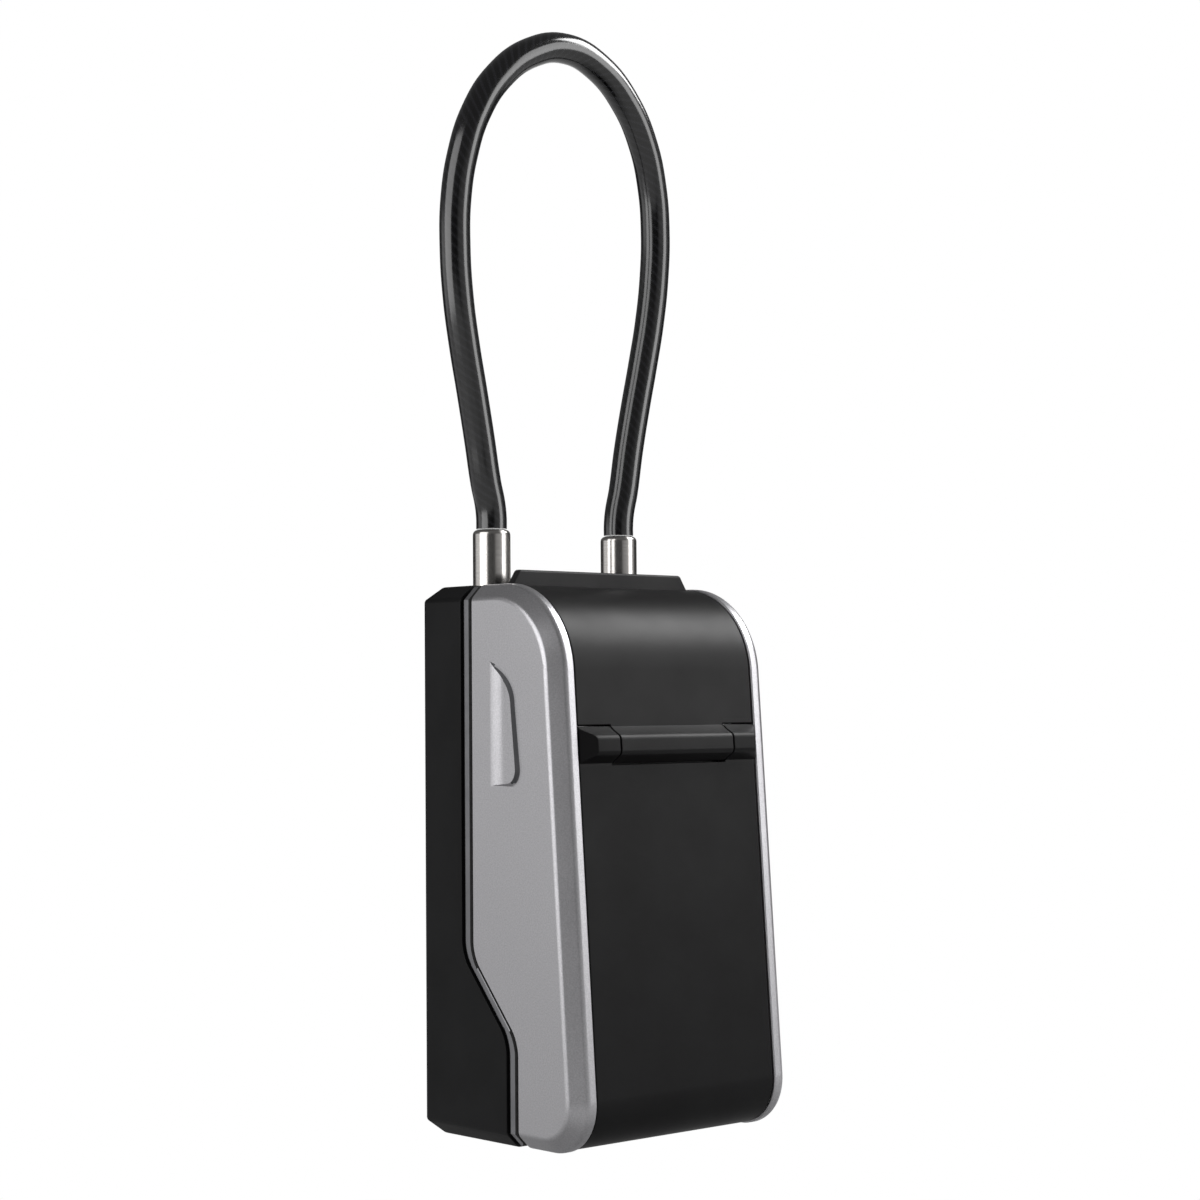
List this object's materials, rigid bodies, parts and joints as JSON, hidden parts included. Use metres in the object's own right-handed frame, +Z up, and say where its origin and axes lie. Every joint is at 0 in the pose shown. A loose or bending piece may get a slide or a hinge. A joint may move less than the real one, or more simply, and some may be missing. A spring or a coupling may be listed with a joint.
{
  "type": "combination lock box",
  "caption": "Portable key lock box: silver hinged door over a black case, drop-down dial cover, number wheels and a flexible cable shackle.",
  "frame": {"origin": "middle of the body's foot, on the surface that the box stands on", "axes": "+Z up along the body, -Y out of the front with the dial cover, +X to the right of someone facing the front"},
  "size_m": [0.0876, 0.0676, 0.3233],
  "materials": {
    "silver": "fine metallic silver paint, satin",
    "jacket": "satin black moulding",
    "moulding": "satin black moulding",
    "back_plate": "fine-grained black moulding",
    "cast_black": "glossy black paint on a casting",
    "seal": "soft matt rubber",
    "steel": "plated steel",
    "polished_steel": "polished steel",
    "spring_steel": "bright wire",
    "zinc": "plain die casting",
    "vinyl": "glossy translucent black vinyl over twisted wire",
    "wheel": "black with raised white numbers"
  },
  "bodies": {
    "case": {"rear_jacket": "jacket", "key_container": "cast_black", "door_seal": "seal", "door_hinge_pin": "steel", "shackle_housing": "zinc", "strike_plate": "steel", "strike_screw_upper": "steel", "strike_screw_lower": "steel", "captive_pin": "steel", "shackle_bolt_spring": "spring_steel"},
    "shackle": {"shackle_leg_captive": "polished_steel", "shackle_leg_free": "polished_steel", "shackle_cable": "vinyl"},
    "shackle_bolt": {"shackle_bolt": "steel", "shackle_release_tab": "moulding"},
    "door": {"door_casting": "silver", "top_panel": "moulding", "cover_hinge_pin": "steel", "door_back_plate": "back_plate", "back_plate_screw_upper_left": "steel", "back_plate_screw_lower_left": "steel", "back_plate_screw_upper_right": "steel", "back_plate_screw_lower_right": "steel", "wheel_axle": "steel", "axle_spacer": "zinc", "wheel_carrier": "zinc", "fence_bar": "steel", "detent_spring": "spring_steel", "dial_bezel": "steel", "latch_spring_left": "spring_steel", "latch_spring_right": "spring_steel"},
    "dial_cover": {"dial_cover": "moulding"},
    "latch": {"release_lever": "moulding", "latch_bar": "steel"},
    "change_lever": {"change_lever": "back_plate"},
    "wheel_1": {"number_wheel_1": "wheel", "wheel_cam_1": "zinc"},
    "wheel_2": {"number_wheel_2": "wheel", "wheel_cam_2": "zinc"},
    "wheel_3": {"number_wheel_3": "wheel", "wheel_cam_3": "zinc"},
    "wheel_4": {"number_wheel_4": "wheel", "wheel_cam_4": "zinc"}
  },
  "joints": [
    {"name": "door_hinge", "type": "hinge", "parent": "case", "child": "door", "pos_m": [0, -0.0047, 0.0039], "axis": [1, 0, 0], "range_deg": [0, 90]},
    {"name": "cover_hinge", "type": "hinge", "parent": "door", "child": "dial_cover", "pos_m": [0, -0.02714, 0.1117], "axis": [-1, 0, 0], "range_deg": [0, 115]},
    {"name": "wheel_1_turn", "type": "hinge", "parent": "door", "child": "wheel_1", "pos_m": [-0.0165, -0.01299, 0.07857], "axis": [1, 0, 0], "continuous": true},
    {"name": "wheel_2_turn", "type": "hinge", "parent": "door", "child": "wheel_2", "pos_m": [-0.0055, -0.01299, 0.07857], "axis": [1, 0, 0], "continuous": true},
    {"name": "wheel_3_turn", "type": "hinge", "parent": "door", "child": "wheel_3", "pos_m": [0.0055, -0.01299, 0.07857], "axis": [1, 0, 0], "continuous": true},
    {"name": "wheel_4_turn", "type": "hinge", "parent": "door", "child": "wheel_4", "pos_m": [0.0165, -0.01299, 0.07857], "axis": [1, 0, 0], "continuous": true},
    {"name": "latch_slide", "type": "slide", "parent": "door", "child": "latch", "axis": [0, 0.0689, 0.9976], "range_m": [0, 0.005], "deforming": ["latch_spring_left", "latch_spring_right"]},
    {"name": "change_lever_turn", "type": "hinge", "parent": "door", "child": "change_lever", "pos_m": [0.024, 0.0101, 0.076], "axis": [0, 1, 0], "range_deg": [0, 90]},
    {"name": "shackle_slide", "type": "slide", "parent": "case", "child": "shackle", "axis": [0, 0, 1], "range_m": [0, 0.018]},
    {"name": "shackle_bolt_slide", "type": "slide", "parent": "case", "child": "shackle_bolt", "axis": [1, 0, 0], "range_m": [0, 0.0034], "deforming": ["shackle_bolt_spring"]}
  ]
}
